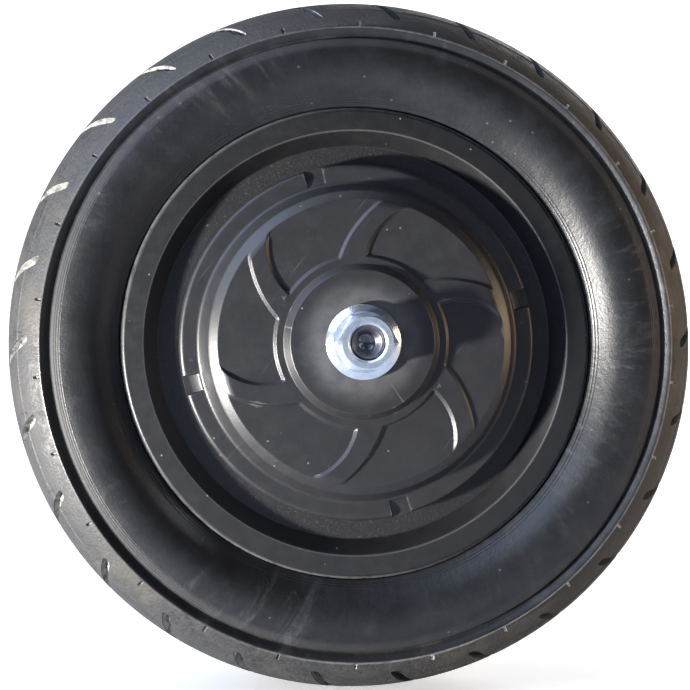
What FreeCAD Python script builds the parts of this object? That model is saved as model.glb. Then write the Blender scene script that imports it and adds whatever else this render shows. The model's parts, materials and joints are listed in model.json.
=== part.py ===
import FreeCAD, Part
import os
import math

# Hub motor wheel for a small electric scooter: a tyred cast wheel with a
# gearless outrunner motor inside it.
#
# The pieces are drawn in a working frame whose Z axis is the spin axis, with
# +Z towards the screwed-in side cover and +Y up.  On export every piece is
# turned 90 degrees about X, so that in the finished part the spin axis is Y,
# the side cover faces -Y, the cable leaves towards +Y and Z is up.
# "Clock" angles run clockwise from straight up, seen from the cover; other
# angles run counterclockwise from +X.  All angles are in degrees.
# Lathe profiles are tables of (radius, z) or (radius, z, corner radius).

Vec = FreeCAD.Vector
ORIGIN = Vec(0, 0, 0)
AXIS = Vec(0, 0, 1)

# ------------------------------------------------------------ driving sizes
tyre_crown_r = 127.5        # outside radius of the tyre
tyre_half_w = 27.1          # half of the section width
shoulder_r = 113.3          # moulded shoulder edge
shoulder_z = 24.8
tread_slots = 26            # slanted slots in each half of the tread
tread_depth = 2.3

bead_seat_r = 76.0          # 10 inch class seat, 152 mm across
flange_r = 84.8             # outside of the rim flange
flange_lip_r = 76.3         # inner edge of the flange face
flange_z = 21.8
recess_z = 15.8             # floor of the recess beside the motor
recess_r = 71.35
well_r = 67.0               # bottom of the drop centre
drum_r = 60.0               # bore that holds the flux ring
drum_floor_z = -15.5

cover_thread_r = 62.5       # M125 screw-in cover
thread_start_z = 7.5
thread_end_z = 14.2
cover_ring_r = 63.9
cover_ring_z = 23.9
cover_face_z = 34.0         # sunken panels of the cover face
cover_spoke_z = 35.1        # raised spokes and inner ring
cover_boss_z = 38.0         # centre disc
cover_boss_r = 25.0
notch_w = 6.5
notch_depth = 1.5
notch_clock = 75.6
notch_count = 4
spoke_count = 6
rib_count = 6

seat_gap = 0.01             # drawn gap at press-fitted seats
brg_r_in = 7.5              # 6202 deep groove ball bearing
brg_r_out = 17.5
brg_w = 11.0
brg_seat_r = brg_r_out + seat_gap
ball_r = 2.98
ball_pitch_r = 12.5
ball_count = 8
groove_r = 3.06             # ball grooves and cage pockets
brg_cover_z = 24.0          # inner face of the cover side bearing
brg_cable_z = -22.0         # inner face of the cable side bearing
brg_cover_end = brg_cover_z + brg_w
brg_cable_end = brg_cable_z - brg_w
seal_r = 12.0               # outside radius of the lip seals
seal_seat_r = seal_r + seat_gap

stack_half = 13.5           # half of the lamination stack
teeth = 27
tooth_pitch = 360.0 / teeth
tooth_w = 5.0
stator_r = 53.2
slot_root_r = 38.0
yoke_in_r = 33.05
insulator_z = stack_half + 0.9
fence_z = 17.8              # far edge of the insulator fences

poles = 30
magnet_in_r = 53.8
magnet_out_r = 56.65
magnet_half = 14.0
flux_in_r = 56.7
flux_out_r = 59.9

hub_face_z = -36.0          # brake disc seat on the cable side
hub_boss_r = 28.0
disc_pcd = 44.0
disc_hole_r = 2.15          # M5 tapping size and 0.05 mm
disc_holes = 6
disc_hole_depth = 8.5

m12_r = 6.0
axle_end_cover = 50.3
axle_end_cable = -66.0
axle_shoulder_z = -38.0
carrier_seat_r = 9.0        # axle radius under the stator carrier
axle_bore_r = 3.5
lead_hole_z = -17.75
key_half_w = 2.5
key_half_len = 9.0
key_floor_y = 6.5

nut_af = 18.0
cover_nut_z = 39.5          # seat of the cover side nut
washer_end_z = axle_shoulder_z - 2.0
spring_end_z = washer_end_z - 2.5

# the sensors sit in the tips of the tooth nearest straight up and of the
# teeth 40 degrees to each side; the phase leads start at the same teeth
base_tooth = 7 * tooth_pitch
hall_angles = [base_tooth - 40.0, base_tooth, base_tooth + 40.0]
board_z = -17.85            # face of the sensor board towards the stack
board_span = 92.0

cable_r = 3.3
cable_mouth_y = 12.6        # where the leads enter the cable
bend_z = -98.0              # start of the cable elbow
bend_r = 16.0
hang_z = bend_z - bend_r    # axis of the hanging run
plug_top = 62.0             # distances down from the wheel axis
plug_socket = 86.0
plug_end = 96.0

valve_clock = 40.0


# ------------------------------------------------------------------ helpers
def arc(start, middle, end):
    return Part.Arc(start, middle, end).toShape()


def segments(points):
    return [Part.makeLine(a, b) for a, b in zip(points, points[1:])]


def mirrored(table):
    """The table reflected in its second column, in reverse order."""
    return [(p[0], -p[1]) + p[2:] for p in reversed(table)]


def corner_frame(before, corner, after):
    """Unit directions to both neighbours, angle between them, unit bisector."""
    back = before - corner
    back.normalize()
    ahead = after - corner
    ahead.normalize()
    angle = math.acos(max(-1.0, min(1.0, back.dot(ahead))))
    bisector = back + ahead
    bisector.normalize()
    return back, ahead, angle, bisector


def profile_face(profile):
    """Face in the r-z half plane, with the listed corners rounded."""
    count = len(profile)
    corners = [Vec(p[0], 0, p[1]) for p in profile]
    joints = []             # (arc start, arc end, arc middle or None)
    for i, point in enumerate(profile):
        corner = corners[i]
        radius = point[2] if len(point) > 2 else 0.0
        if radius <= 0:
            joints.append((corner, corner, None))
            continue
        back, ahead, angle, bisector = corner_frame(
            corners[i - 1], corner, corners[(i + 1) % count])
        if math.pi - angle < 0.02:      # nearly straight, left sharp
            joints.append((corner, corner, None))
            continue
        setback = radius / math.tan(angle / 2)
        centre = corner + bisector * (radius / math.sin(angle / 2))
        joints.append((corner + back * setback, corner + ahead * setback,
                       centre - bisector * radius))
    edges = []
    for i, (start, end, middle) in enumerate(joints):
        if middle is not None:
            edges.append(arc(start, middle, end))
        following = joints[(i + 1) % count][0]
        if (following - end).Length > 1e-5:
            edges.append(Part.makeLine(end, following))
    return Part.Face(Part.Wire(edges))


def lathe(profile, sweep=360.0):
    return profile_face(profile).revolve(ORIGIN, AXIS, sweep)


def cylinder(radius, z0, z1, x=0.0, y=0.0):
    return Part.makeCylinder(radius, z1 - z0, Vec(x, y, z0), AXIS)


def ring(r0, r1, z0, z1, chamfer=0.0):
    c = chamfer
    if c <= 0:
        return lathe([(r0, z0), (r1, z0), (r1, z1), (r0, z1)])
    return lathe([(r0 + c, z0), (r1 - c, z0), (r1, z0 + c), (r1, z1 - c),
                  (r1 - c, z1), (r0 + c, z1), (r0, z1 - c), (r0, z0 + c)])


def box(x0, x1, y0, y1, z0, z1):
    return Part.makeBox(x1 - x0, y1 - y0, z1 - z0, Vec(x0, y0, z0))


def prism(points, z0, z1):
    """Upright prism on a closed x, y outline."""
    outline = [Vec(x, y, z0) for x, y in points + points[:1]]
    return Part.Face(Part.makePolygon(outline)).extrude(Vec(0, 0, z1 - z0))


def rod(start, end, radius):
    run = end - start
    return Part.makeCylinder(radius, run.Length, start, run)


def turn(shape, angle):
    turned = shape.copy()
    turned.rotate(ORIGIN, AXIS, angle)
    return turned


def around(shape, count, start=0.0):
    return [turn(shape, k * 360.0 / count + start) for k in range(count)]


def fuse_all(shapes):
    body = shapes[0]
    for shape in shapes[1:]:
        body = body.fuse(shape)
    return body


def polar(radius, angle, z=0.0):
    a = math.radians(angle)
    return Vec(radius * math.cos(a), radius * math.sin(a), z)


def clock(radius, angle, z=0.0):
    a = math.radians(angle)
    return Vec(radius * math.sin(a), radius * math.cos(a), z)


def lead_wire(corners, wire_r):
    """Lead along straight runs joined by bends, built from flat mitred facets."""
    lead_bend_r = 4.0
    sides = 12
    steps = 4
    line = [corners[0]]
    for before, corner, after in zip(corners, corners[1:], corners[2:]):
        limit = 0.45 * min((before - corner).Length, (after - corner).Length)
        back, ahead, angle, bisector = corner_frame(before, corner, after)
        setback = min(lead_bend_r / math.tan(angle / 2), limit)
        radius = setback * math.tan(angle / 2)
        centre = corner + bisector * (radius / math.sin(angle / 2))
        start = corner + back * setback - centre
        end = corner + ahead * setback - centre
        sweep = start.getAngle(end)
        for k in range(steps + 1):
            t = k / steps
            line.append(centre + start * (math.sin((1 - t) * sweep) / math.sin(sweep))
                        + end * (math.sin(t * sweep) / math.sin(sweep)))
    line.append(corners[-1])
    runs = []
    for a, b in zip(line, line[1:]):
        run = b - a
        run.normalize()
        runs.append(run)
    side = runs[0].cross(AXIS)
    if side.Length < 0.2:
        side = runs[0].cross(Vec(1, 0, 0))
    side.normalize()
    other = runs[0].cross(side)
    section = []
    for k in range(sides):
        a = 2 * math.pi * k / sides
        section.append(line[0] + side * (wire_r * math.cos(a))
                       + other * (wire_r * math.sin(a)))
    # carry the section along each run to the mitre plane at its end
    stations = [section]
    for i, run in enumerate(runs):
        normal = run
        if i + 1 < len(runs):
            normal = run + runs[i + 1]
            normal.normalize()
        stations.append([p + run * ((line[i + 1] - p).dot(normal) / run.dot(normal))
                         for p in stations[-1]])
    faces = [Part.Face(Part.makePolygon(s + [s[0]])) for s in (stations[0], stations[-1])]
    for a, b in zip(stations, stations[1:]):
        for k in range(sides):
            m = (k + 1) % sides
            faces.append(Part.Face(Part.makePolygon([a[k], a[m], b[m], b[k], a[k]])))
    body = Part.Solid(Part.makeShell(faces))
    if body.Volume < 0:
        body.reverse()
    return body


# -------------------------------------------------------------------- valve
valve_inner = clock(72.5, valve_clock, -4.0)
valve_outer = clock(66.0, valve_clock, -28.0)
valve_dir = valve_outer - valve_inner
valve_dir.normalize()


def valve_rod(start, end, radius):
    """Rod on the valve axis, between distances measured from valve_inner."""
    return rod(valve_inner + valve_dir * start, valve_inner + valve_dir * end, radius)


def valve_stem():
    stem = valve_rod(-3.6, 23.4, 3.85).fuse(valve_rod(-3.6, -2.4, 5.5))
    return stem.cut(valve_rod(-5.0, 25.0, 1.6)).removeSplitter()


def valve_core():
    return valve_rod(9.0, 22.6, 1.55).fuse(valve_rod(22.6, 24.6, 0.5)).removeSplitter()


def valve_cap():
    return valve_rod(18.0, 27.5, 4.6).cut(valve_rod(16.0, 25.2, 3.9))


# --------------------------------------------------------- wheel rim casting
def wheel_rim():
    # recess edge over the flange and bead seat to the drop centre
    half_rim = [
        (recess_r, recess_z, 0.8), (flange_lip_r, flange_z, 0.6), (83.6, 21.5, 1.2),
        (flange_r, 20.0, 0.9), (flange_r, 18.25, 0.3), (77.6, 18.0, 1.2),
        (bead_seat_r, 16.6), (75.8, 9.4, 1.5), (well_r, 3.6, 2.0)]
    # cable side wall, hub, bearing seat, drum and cover thread
    wall_and_drum = [
        (65.0, -recess_z, 2.0), (60.8, -24.6, 3.0), (32.5, -26.5, 2.0),
        (hub_boss_r + 0.6, -35.2), (hub_boss_r - 0.4, hub_face_z),
        (seal_seat_r, hub_face_z), (seal_seat_r, brg_cable_end),
        (brg_seat_r, brg_cable_end), (brg_seat_r, brg_cable_z),
        (22.0, brg_cable_z, 0.6), (24.0, -22.6, 0.3), (53.6, -22.6, 2.0),
        (58.0, -17.6, 1.0), (58.0, drum_floor_z), (drum_r, drum_floor_z),
        (drum_r, thread_start_z), (cover_thread_r, thread_start_z),
        (cover_thread_r, thread_end_z), (63.6, thread_end_z), (63.6, recess_z)]
    rim = lathe(half_rim + mirrored(half_rim) + wall_and_drum)

    # radial ribs on the outside of the cable side wall
    rib = box(-2.0, 2.0, 27.0, 60.0, -29.4, -24.0)
    rib_zone = lathe([(26.0, -23.6), (26.0, -31.5), (30.0, -31.0, 1.0),
                      (58.0, -27.6, 2.0), (61.4, -23.6)])
    rim = rim.fuse(fuse_all(around(rib, rib_count, 30.0)).common(rib_zone))

    bores = [cylinder(seal_seat_r, -40, brg_cable_end + 0.1),
             cylinder(brg_seat_r, brg_cable_end, brg_cable_z + 1.0)]
    for k in range(disc_holes):
        hole = polar(disc_pcd / 2, k * 360.0 / disc_holes)
        bores.append(cylinder(disc_hole_r, hub_face_z - 0.5, hub_face_z + disc_hole_depth,
                              hole.x, hole.y))
    rim = rim.cut(fuse_all(bores))

    # valve hole: slopes 15 degrees from the drop centre into the recess
    return rim.cut(valve_rod(-1.0, 20.0, 4.1)).removeSplitter()


# ------------------------------------------------------------- rotor pieces
def flux_ring():
    return ring(flux_in_r, flux_out_r, drum_floor_z, 15.0, 0.4)


def rotor_magnets():
    half_angle = 180.0 / poles - 0.55
    magnet = lathe([(magnet_in_r, -magnet_half), (magnet_out_r, -magnet_half),
                    (magnet_out_r, magnet_half), (magnet_in_r, magnet_half)],
                   2 * half_angle)
    return Part.makeCompound(around(magnet, poles, -half_angle))


# --------------------------------------------------------------- side cover
def cover_spokes():
    base_z = 32.5
    inner_r = 30.2
    outer_r = 51.6
    # spoke edges as (radius, clock angle): the leading edge is straight in
    # angle against radius, the trailing edge curls to meet the inner ring
    leading = [(inner_r, 225.6), (31.5, 227.1), (36.0, 232.3), (40.5, 237.4),
               (45.5, 243.1), (50.0, 248.3), (outer_r, 250.2)]
    trailing = [(inner_r, 243.6), (31.0, 244.0), (36.0, 246.1), (41.0, 249.8),
                (46.0, 254.5), (50.0, 260.0), (outer_r, 262.4)]

    def edge_curve(table):
        curve = Part.BSplineCurve()
        curve.interpolate([clock(r, a, base_z) for r, a in table])
        return curve.toShape()

    def end_arc(radius, start, end):
        return arc(clock(radius, start, base_z), clock(radius, (start + end) / 2, base_z),
                   clock(radius, end, base_z))

    outline = Part.Wire(Part.__sortEdges__([
        edge_curve(leading), end_arc(outer_r, 250.2, 262.4),
        edge_curve(trailing), end_arc(inner_r, 225.6, 243.6)]))
    spoke = Part.Face(outline).extrude(Vec(0, 0, 4.0))
    zone = lathe([(29.0, 32.0), (52.0, 32.0), (50.0, 33.95),
                  (48.2, cover_spoke_z, 0.8), (29.0, cover_spoke_z)])
    return fuse_all(around(spoke.common(zone), spoke_count))


def side_cover():
    thread_r = cover_thread_r - 0.05
    cover = lathe([
        # outer face
        (seal_seat_r, cover_boss_z), (cover_boss_r, cover_boss_z, 0.5),
        (27.25, cover_spoke_z, 0.4), (29.5, cover_spoke_z, 0.3),
        (31.0, cover_face_z, 0.3), (50.0, cover_face_z, 0.3), (53.5, 31.6, 0.8),
        (56.4, cover_ring_z, 1.5), (cover_ring_r, cover_ring_z, 1.2),
        # O-ring groove and thread
        (cover_ring_r, recess_z), (61.95, recess_z), (61.95, thread_end_z),
        (thread_r, thread_end_z), (thread_r, 8.4), (61.8, 7.7),
        # inner face and bearing seat
        (60.2, 7.7), (60.2, 15.4, 0.5), (55.6, 19.0, 1.0), (47.5, 29.8, 3.0),
        (22.6, 29.8, 1.5), (21.6, brg_cover_z), (brg_seat_r, brg_cover_z),
        (brg_seat_r, brg_cover_end), (seal_seat_r, brg_cover_end)])
    cover = cover.fuse(cover_spokes())
    notch = box(-notch_w / 2, notch_w / 2, 57.4, 66.0,
                cover_ring_z - notch_depth, cover_ring_z + 3)
    for k in range(notch_count):
        cover = cover.cut(turn(notch, -(notch_clock + k * 360.0 / notch_count)))
    return cover.removeSplitter()


def cover_o_ring():
    return Part.makeTorus(62.76, 0.78, Vec(0, 0, (thread_end_z + recess_z) / 2), AXIS)


# --------------------------------------------------------------------- axle
def axle_shaft():
    axle = lathe([
        # cable end to the flange against the carrier
        (0.0, axle_end_cable), (5.2, axle_end_cable), (m12_r, axle_end_cable + 0.8),
        (m12_r, axle_shoulder_z), (7.2, axle_shoulder_z),
        (brg_r_in, axle_shoulder_z + 0.3), (brg_r_in, brg_cable_z),
        (10.7, brg_cable_z), (11.0, brg_cable_z + 0.3), (11.0, -stack_half),
        # carrier seat with circlip groove
        (carrier_seat_r, -stack_half), (carrier_seat_r, 13.6), (8.4, 13.6), (8.4, 14.9),
        (carrier_seat_r, 14.9), (carrier_seat_r, brg_cover_z - 0.4), (8.6, brg_cover_z),
        # cover end with centre drilling
        (brg_r_in, brg_cover_z), (brg_r_in, 34.4), (7.1, 34.8), (m12_r, 34.8),
        (m12_r, axle_end_cover - 0.7), (5.3, axle_end_cover), (4.9, axle_end_cover),
        (2.9, 47.9), (2.9, 45.6), (0.0, 44.0)])
    # cable bore, rounded at the turn into the upward lead hole
    lead_hole = Vec(0, 0, lead_hole_z)
    axle = axle.cut(cylinder(axle_bore_r, axle_end_cable - 1, lead_hole_z))
    axle = axle.cut(Part.makeSphere(axle_bore_r, lead_hole))
    axle = axle.cut(Part.makeCylinder(axle_bore_r, 14.0, lead_hole, Vec(0, 1, 0)))
    # keyway
    axle = axle.cut(box(-key_half_w, key_half_w, key_floor_y, 10.0,
                        -key_half_len, key_half_len))
    # two flats beside the cable side shoulder
    for x0 in (-8.0, 5.0):
        axle = axle.cut(box(x0, x0 + 3.0, -8, 8, axle_shoulder_z - 8.0, axle_shoulder_z))
    # groove in the cable side thread
    return axle.cut(ring(5.5, 8.0, -53.8, -52.7))


# --------------------------------------------------------- bearings and seals
def bearing(side, mid_z):
    z0 = mid_z - brg_w / 2
    z1 = mid_z + brg_w / 2
    groove = Part.makeTorus(ball_pitch_r, groove_r, Vec(0, 0, mid_z), AXIS)
    balls = []
    cage = ring(11.7, 13.3, mid_z - 3.75, mid_z + 3.75)
    for k in range(ball_count):
        angle = k * 360.0 / ball_count
        balls.append(Part.makeSphere(ball_r, polar(ball_pitch_r, angle, mid_z)))
        cage = cage.cut(Part.makeCylinder(groove_r, 4.6, polar(10.2, angle, mid_z),
                                          polar(1.0, angle)))
    shields = [ring(10.1, 15.24, mid_z - 5.3, mid_z - 4.7),
               ring(10.1, 15.24, mid_z + 4.7, mid_z + 5.3)]
    return {
        "bearing_inner_ring_" + side: ring(brg_r_in + seat_gap, 9.75, z0, z1, 0.4).cut(groove),
        "bearing_outer_ring_" + side: ring(15.25, brg_r_out, z0, z1, 0.4).cut(groove),
        "bearing_balls_" + side: Part.makeCompound(balls),
        "bearing_cage_" + side: cage,
        "bearing_shields_" + side: Part.makeCompound(shields)}


# lip seals, pressed in the housings
def axle_seal_cover_side():
    return lathe([(8.55, 37.7), (8.55, 37.0), (9.7, 36.6), (9.7, 35.3),
                  (seal_r, 35.3), (seal_r, 37.7)])


def axle_seal_cable_side():
    return lathe([(7.55, -35.7), (7.55, -35.0), (9.0, -34.6), (9.0, -33.3),
                  (seal_r, -33.3), (seal_r, -35.7)])


# ------------------------------------------------------------ axle hardware
def cover_side_spacer():
    return ring(m12_r + 0.05, 8.5, brg_cover_end, cover_nut_z, 0.3)


def cable_side_washer():
    return ring(m12_r + 0.25, 12.0, washer_end_z, axle_shoulder_z, 0.25)


def cable_side_spring_washer():
    washer = ring(m12_r + 0.2, 9.3, spring_end_z, washer_end_z, 0.15)
    return washer.cut(box(6.0, 10.0, -0.6, 0.6, spring_end_z - 0.5, washer_end_z + 0.5))


def hex_nut(seat_z, height, nut_flange_r=0.0, nut_flange_h=0.0):
    """Hex nut from its seat; a negative height builds it towards -Z."""
    crown_z = seat_z + height
    low = min(seat_z, crown_z)
    high = max(seat_z, crown_z)
    out = math.copysign(1.0, height)
    corner_r = nut_af / math.sqrt(3.0)
    corners = [polar(corner_r, 60 * k) for k in range(6)]
    nut = prism([(p.x, p.y) for p in corners], low, high)
    # envelope that bevels the corners at the crown
    nut = nut.common(lathe([
        (0, seat_z), (corner_r + 0.1, seat_z), (corner_r + 0.1, crown_z - out * 0.7875),
        (nut_af / 2 - 0.3, crown_z), (0, crown_z)]))
    if nut_flange_r > 0:
        nut = nut.fuse(lathe([
            (0, seat_z), (nut_flange_r - 0.3, seat_z), (nut_flange_r, seat_z + out * 0.3),
            (nut_flange_r, seat_z + out * 0.9, 0.3),
            (corner_r + 0.2, seat_z + out * nut_flange_h), (0, seat_z + out * nut_flange_h)]))
    bore = m12_r + 0.05
    nut = nut.cut(cylinder(bore, low - 1, high + 1))
    nut = nut.cut(lathe([(0, high - 0.7), (bore, high - 0.7), (bore + 0.7, high),
                         (bore + 0.7, high + 1), (0, high + 1)]))
    nut = nut.cut(lathe([(0, low + 0.5), (bore, low + 0.5), (bore + 0.5, low),
                         (bore + 0.5, low - 1), (0, low - 1)]))
    return nut.removeSplitter()


# ------------------------------------------------------------------- stator
def toothed_ring(root_r, tip_in_r, tip_out_r, tip_w, bore_r, z0, z1):
    """Ring with outward teeth that widen to tip_w at their tips."""
    half_tooth = tooth_w / 2
    half_tip = tip_w / 2
    # one side of a tooth from root to tip: (along, across)
    flank = [(math.sqrt(root_r ** 2 - half_tooth ** 2), half_tooth),
             (tip_in_r, half_tooth), (tip_in_r + 0.4, half_tip),
             (math.sqrt(tip_out_r ** 2 - half_tip ** 2), half_tip)]

    def placed(x, y, angle):
        a = math.radians(angle)
        return Vec(x * math.cos(a) - y * math.sin(a), x * math.sin(a) + y * math.cos(a), 0)

    edges = []
    for k in range(teeth):
        angle = k * tooth_pitch
        outward = [placed(x, -y, angle) for x, y in flank]
        inward = [placed(x, y, angle) for x, y in reversed(flank)]
        next_root = placed(flank[0][0], -flank[0][1], (k + 1) % teeth * tooth_pitch)
        edges += segments(outward)
        edges.append(arc(outward[-1], polar(tip_out_r, angle), inward[0]))
        edges += segments(inward)
        edges.append(arc(inward[-1], polar(root_r, angle + tooth_pitch / 2), next_root))
    body = Part.Face(Part.Wire(edges)).extrude(Vec(0, 0, z1 - z0))
    body.translate(Vec(0, 0, z0))
    return body.cut(cylinder(bore_r, z0 - 1, z1 + 1))


def stator_core():
    core = toothed_ring(root_r=slot_root_r, tip_in_r=51.0, tip_out_r=stator_r, tip_w=9.9,
                        bore_r=yoke_in_r, z0=-stack_half, z1=stack_half)
    sensor_slot = box(51.35, 54.0, -2.15, 2.15, -14.0, -9.6)
    for angle in hall_angles:
        core = core.cut(turn(sensor_slot, angle))
    return core


def winding_insulator(z0, z1, fence_z0, fence_z1):
    insulator = toothed_ring(root_r=37.6, tip_in_r=50.6, tip_out_r=51.25, tip_w=9.6,
                             bore_r=34.5, z0=z0, z1=z1)
    fence = box(50.5, 51.2, -4.0, 4.0, fence_z0, fence_z1)
    return insulator.fuse(around(fence, teeth)).removeSplitter()


def tooth_coil():
    """Concentrated coil on the tooth at +X, hollow where the tooth passes."""
    half_len = 18.8
    coil = prism([(39.3, -4.42), (50.3, -5.55), (50.3, 5.55), (39.3, 4.42)],
                 -half_len, half_len)
    long_end_edges = []
    for edge in coil.Edges:
        centre = edge.CenterOfMass
        if abs(abs(centre.z) - half_len) < 0.01 and abs(centre.y) > 3.0:
            long_end_edges.append(edge)
    coil = coil.makeFillet(1.9, long_end_edges)
    return coil.cut(box(38.0, 52.0, -2.56, 2.56, -14.45, 14.45))


def phase_coils(phase):
    """Phases 0, 1, 2 take groups of three neighbouring teeth in turn."""
    coil = tooth_coil()
    return Part.makeCompound([turn(coil, k * tooth_pitch) for k in range(teeth)
                              if (k // 3) % 3 == phase])


def stator_carrier():
    """Aluminium spider that carries the stack on the axle."""
    bore_r = carrier_seat_r + seat_gap
    carrier = lathe([
        (bore_r, -stack_half), (14.6, -stack_half, 0.5), (15.4, -4.0, 2.0),
        (29.4, -4.0, 1.5), (30.2, -12.6), (33.0, -12.6), (33.0, 12.6), (30.2, 12.6),
        (29.4, 4.0, 1.5), (15.4, 4.0, 2.0), (14.6, 13.4, 0.5), (bore_r, 13.4)])
    for hole in around(cylinder(4.2, -6, 6, 22.6, 0), 6):
        carrier = carrier.cut(hole)
    slot_half_w = key_half_w + seat_gap
    return carrier.cut(box(-slot_half_w, slot_half_w, 6.0, 11.5, -15.0, 15.0))


def carrier_key():
    return box(-key_half_w, key_half_w, key_floor_y, 11.45, -key_half_len, key_half_len)


def carrier_circlip():
    inner_r = 8.42
    z0 = 13.65
    z1 = 14.85
    clip = ring(inner_r, 11.0, z0, z1).cut(box(-2.6, 2.6, -14.0, -4.0, 13.0, 15.5))
    for x in (-4.2, 4.2):
        ear = cylinder(1.7, z0, z1, x, -10.4).cut(cylinder(0.8, 13.0, 15.5, x, -10.4))
        clip = clip.fuse(ear.cut(cylinder(inner_r, 13, 15.5)))
    return clip.removeSplitter()


# ------------------------------------------------- position sensors and leads
def hall_sensor_board():
    board = lathe([(50.9, -19.0), (52.9, -19.0), (52.9, board_z), (50.9, board_z)],
                  board_span)
    return turn(board, base_tooth - board_span / 2)


def hall_sensors():
    pieces = [box(51.5, 53.0, -2.0, 2.0, -13.0, -9.8)]
    for y in (-1.27, 0.0, 1.27):
        pieces.append(box(52.0, 52.45, y - 0.22, y + 0.22, board_z, -13.0))
    sensor = fuse_all(pieces).removeSplitter()
    return Part.makeCompound([turn(sensor, angle) for angle in hall_angles])


def lead_to_cable(start_r, turn_r, angle, start_z, end_x, end_dz):
    """Lead running inwards at one angle, then into the cable mouth."""
    end_z = lead_hole_z + end_dz
    return lead_wire([polar(start_r, angle, start_z), polar(turn_r, angle, start_z),
                      Vec(end_x, 17.0, end_z), Vec(end_x, cable_mouth_y, end_z)], 1.0)


def phase_leads():
    # place in the cable mouth: (x, z from the lead hole axis)
    ends = [(1.3, 1.35), (-1.3, -1.2), (-1.3, 1.35)]
    return Part.makeCompound([lead_to_cable(39.29, 35.0, angle, -16.7, x, dz)
                              for angle, (x, dz) in zip(hall_angles, ends)])


def hall_leads():
    return lead_to_cable(52.0, 33.0, base_tooth - 20.0, -20.0, 1.3, -1.2)


# ------------------------------------------------ cable, grommet and plug
def motor_cable():
    """Cable from the lead hole, out along the axle and down to the plug."""
    corner = Vec(0, 0, lead_hole_z)
    cable = rod(Vec(0, cable_mouth_y, lead_hole_z), corner, cable_r)
    cable = cable.fuse(Part.makeSphere(cable_r, corner))
    cable = cable.fuse(cylinder(cable_r, bend_z, lead_hole_z))
    torus = Part.makeTorus(bend_r, cable_r, Vec(0, -bend_r, bend_z), Vec(1, 0, 0))
    quarter = box(-6, 6, -bend_r, cable_r + 1, hang_z - cable_r - 1, bend_z)
    cable = cable.fuse(torus.common(quarter))
    cable = cable.fuse(rod(Vec(0, -bend_r, hang_z), Vec(0, -plug_top, hang_z), cable_r))
    return cable.removeSplitter()


def cable_grommet():
    bore_r = cable_r + 0.02
    return lathe([(bore_r, axle_end_cable), (5.7, axle_end_cable), (5.7, -68.4, 0.4),
                  (4.9, -69.4), (4.2, -78.0, 0.3), (bore_r, -78.0)])


def hanging(profile):
    """Turned piece on the hanging run; profile z is the distance down."""
    piece = lathe(profile)
    piece.rotate(ORIGIN, Vec(1, 0, 0), 90)        # +Z of the profile becomes -Y
    piece.translate(Vec(0, 0, hang_z))
    return piece


def plug_boot():
    bore_r = cable_r + 0.02
    return hanging([(bore_r, 50.0), (4.4, 50.0), (6.6, 60.0, 1.0), (6.6, plug_top),
                    (bore_r, plug_top)])


def plug_body():
    body = hanging([
        (0.0, plug_top), (6.6, plug_top), (7.2, 63.0), (7.2, 82.0, 0.4), (6.2, 82.6),
        (6.2, plug_end, 0.4), (5.2, plug_end), (5.2, plug_socket), (0.0, plug_socket)])
    return body.cut(box(-0.8, 0.8, -plug_end - 0.5, -88.0, hang_z + 5.0, hang_z + 7.5))


def plug_collar():
    return hanging([(7.22, 66.0), (8.6, 66.0, 0.5), (8.6, 78.0, 0.5), (7.22, 78.0)])


def plug_pins():
    """Eight pins on a circle and one in the middle."""
    places = [polar(3.2, 45 * k) for k in range(8)] + [ORIGIN]
    return Part.makeCompound([
        Part.makeCylinder(0.5, 7.0, Vec(p.x, -plug_socket, hang_z + p.y), Vec(0, -1, 0))
        for p in places])


# ------------------------------------------------------------ tyre and tube
def profile_lines(table):
    return segments([Vec(r, 0, z) for r, z in table])


def profile_spline(table):
    curve = Part.BSplineCurve()
    curve.interpolate([Vec(r, 0, z) for r, z in table])
    return [curve.toShape()]


def tyre_casing():
    # +Z half of the section as (radius, z), from bead toe out to the shoulder
    bead = [(76.05, 10.4), (76.05, 16.5), (77.55, 17.85), (85.0, 18.1), (85.05, 19.7),
            (85.5, 20.1)]
    wall = [(85.5, 20.1), (87.9, 21.7), (91.0, 23.9), (95.0, 26.05), (101.0, tyre_half_w),
            (106.0, 26.5), (109.0, 25.3)]
    shoulder = [(109.0, 25.3), (109.6, 23.9), (112.4, 25.5), (112.85, 25.6),
                (shoulder_r, shoulder_z)]
    # inside surface, from the crown back to the bead toe
    inside = [(121.9, 0.0), (118.8, 8.3), (113.5, 14.6), (107.5, 19.1), (102.0, 22.4),
              (97.0, 22.5), (91.0, 19.5), (85.5, 14.2), (80.5, 10.2), (76.05, 10.4)]
    inside = mirrored(inside)[:-1] + inside
    edges = profile_lines(bead) + profile_spline(wall) + profile_lines(shoulder)
    edges.append(arc(Vec(shoulder_r, 0, shoulder_z), Vec(tyre_crown_r, 0, 0),
                     Vec(shoulder_r, 0, -shoulder_z)))
    edges += profile_lines(mirrored(shoulder)) + profile_spline(mirrored(wall))
    edges += profile_lines(mirrored(bead))
    edges += profile_lines(inside[:2]) + profile_spline(inside[1:-1])
    edges += profile_lines(inside[-2:])
    return Part.Face(Part.Wire(edges)).revolve(ORIGIN, AXIS, 360)


def tread_skin():
    """Layer round the tread arc that keeps the slots to a constant depth."""
    centre_r = ((tyre_crown_r ** 2 - shoulder_r ** 2 - shoulder_z ** 2)
                / (2 * (tyre_crown_r - shoulder_r)))
    arc_r = tyre_crown_r - centre_r

    def arc_points(radius, angles):
        return [(centre_r + radius * math.cos(math.radians(a)),
                 radius * math.sin(math.radians(a))) for a in angles]

    skin = lathe(arc_points(arc_r - tread_depth, range(-60, 61, 4))
                 + arc_points(arc_r + 3, range(60, -61, -4)), 40.0)
    return turn(skin, 70.0)


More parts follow.
